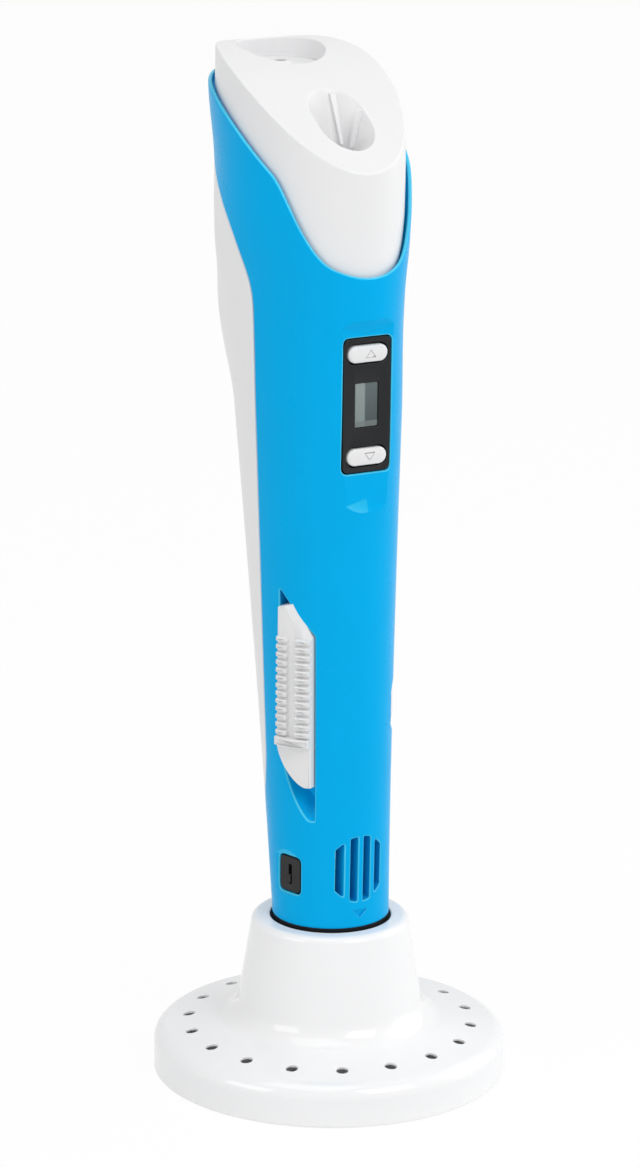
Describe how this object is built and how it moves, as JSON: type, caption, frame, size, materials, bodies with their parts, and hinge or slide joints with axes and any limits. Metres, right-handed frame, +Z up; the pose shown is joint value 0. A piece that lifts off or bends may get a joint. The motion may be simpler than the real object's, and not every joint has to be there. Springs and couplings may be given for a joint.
{
  "type": "filament drawing pen with stand",
  "caption": "Handheld filament pen with display, feed buttons and vents, standing nose-down in a round table stand with a collar and a ring of small holder holes.",
  "frame": {"origin": "centre of the stand's underside, on the surface it stands on", "axes": "+Z up along the pen and the stand's collar; -Y is the front with the display; +X is to the right seen from the front"},
  "size_m": [0.065, 0.0666, 0.1876],
  "materials": {
    "stand_white": "glossy moulded",
    "shell_blue": "fine satin moulded",
    "shell_white": "satin moulded",
    "button_white": "satin moulded",
    "black_plastic": "satin moulded",
    "panel_black": "glossy",
    "clear_lens": "clear",
    "lcd_grey": "grey-green liquid crystal",
    "board_green": "solder mask",
    "switch_grey": "moulded",
    "frame_grey": "moulded",
    "tube_white": "waxy",
    "steel": "turned",
    "brass": "turned",
    "aluminium": "turned",
    "ceramic": "dark fired"
  },
  "bodies": {
    "stand": {"stand": "stand_white"},
    "pen": {"front_shell": "shell_blue", "rear_cover": "shell_white", "top_cap": "shell_white", "nose_ring": "black_plastic", "display_bezel": "panel_black", "display_lens": "clear_lens", "lcd_module": "lcd_grey", "control_board": "board_green", "board_screws": "steel", "speed_switches": "switch_grey", "switch_carrier": "frame_grey", "feed_switches": "switch_grey", "material_switch": "black_plastic", "dc_jack": "black_plastic", "dc_jack_pin": "steel", "inlet_tube": "tube_white", "feeder_frame": "frame_grey", "frame_screws": "steel", "motor_can": "steel", "gearbox": "brass", "idler_axle": "steel", "feed_tube": "tube_white", "heat_sink": "aluminium", "hot_barrel": "steel", "heater_sleeve": "ceramic", "insulator": "ceramic", "nozzle": "brass", "shell_screws": "steel"},
    "speed_up": {"speed_up_button": "button_white", "speed_up_plunger": "black_plastic"},
    "speed_down": {"speed_down_button": "button_white", "speed_down_plunger": "black_plastic"},
    "load": {"load_button": "button_white", "load_plunger": "black_plastic"},
    "unload": {"unload_button": "button_white", "unload_plunger": "black_plastic"},
    "material": {"material_knob": "black_plastic"},
    "feed_drive": {"feed_shaft": "steel", "drive_wheel": "brass"},
    "idler": {"idler_roller": "steel"}
  },
  "joints": [
    {"name": "pen_lift", "type": "slide", "parent": "stand", "child": "pen", "axis": [0, 0, 1], "range_m": [0, 0.03]},
    {"name": "speed_up_press", "type": "slide", "parent": "pen", "child": "speed_up", "axis": [0, 1, 0], "range_m": [0, 0.0006], "stiffness_N_per_m": 900, "springref_m": -0.0004},
    {"name": "speed_down_press", "type": "slide", "parent": "pen", "child": "speed_down", "axis": [0, 1, 0], "range_m": [0, 0.0006], "stiffness_N_per_m": 900, "springref_m": -0.0004},
    {"name": "load_press", "type": "slide", "parent": "pen", "child": "load", "axis": [0.9063, 0.4226, 0], "range_m": [0, 0.0006], "stiffness_N_per_m": 1100, "springref_m": -0.0004},
    {"name": "unload_press", "type": "slide", "parent": "pen", "child": "unload", "axis": [-0.9063, 0.4226, 0], "range_m": [0, 0.0006], "stiffness_N_per_m": 1100, "springref_m": -0.0004},
    {"name": "material_slide", "type": "slide", "parent": "pen", "child": "material", "axis": [0, 0, 1], "range_m": [0, 0.0016]},
    {"name": "feed_spin", "type": "hinge", "parent": "pen", "child": "feed_drive", "pos_m": [-0.0041, 0.021, 0.149], "axis": [0, 1, 0], "continuous": true},
    {"name": "idler_spin", "type": "hinge", "parent": "pen", "child": "idler", "pos_m": [0.0045, 0.021, 0.149], "axis": [0, 1, 0], "continuous": true}
  ],
  "couplings": [
    {"joint": "idler_spin", "follows": "feed_spin", "ratio": -0.88889}
  ]
}
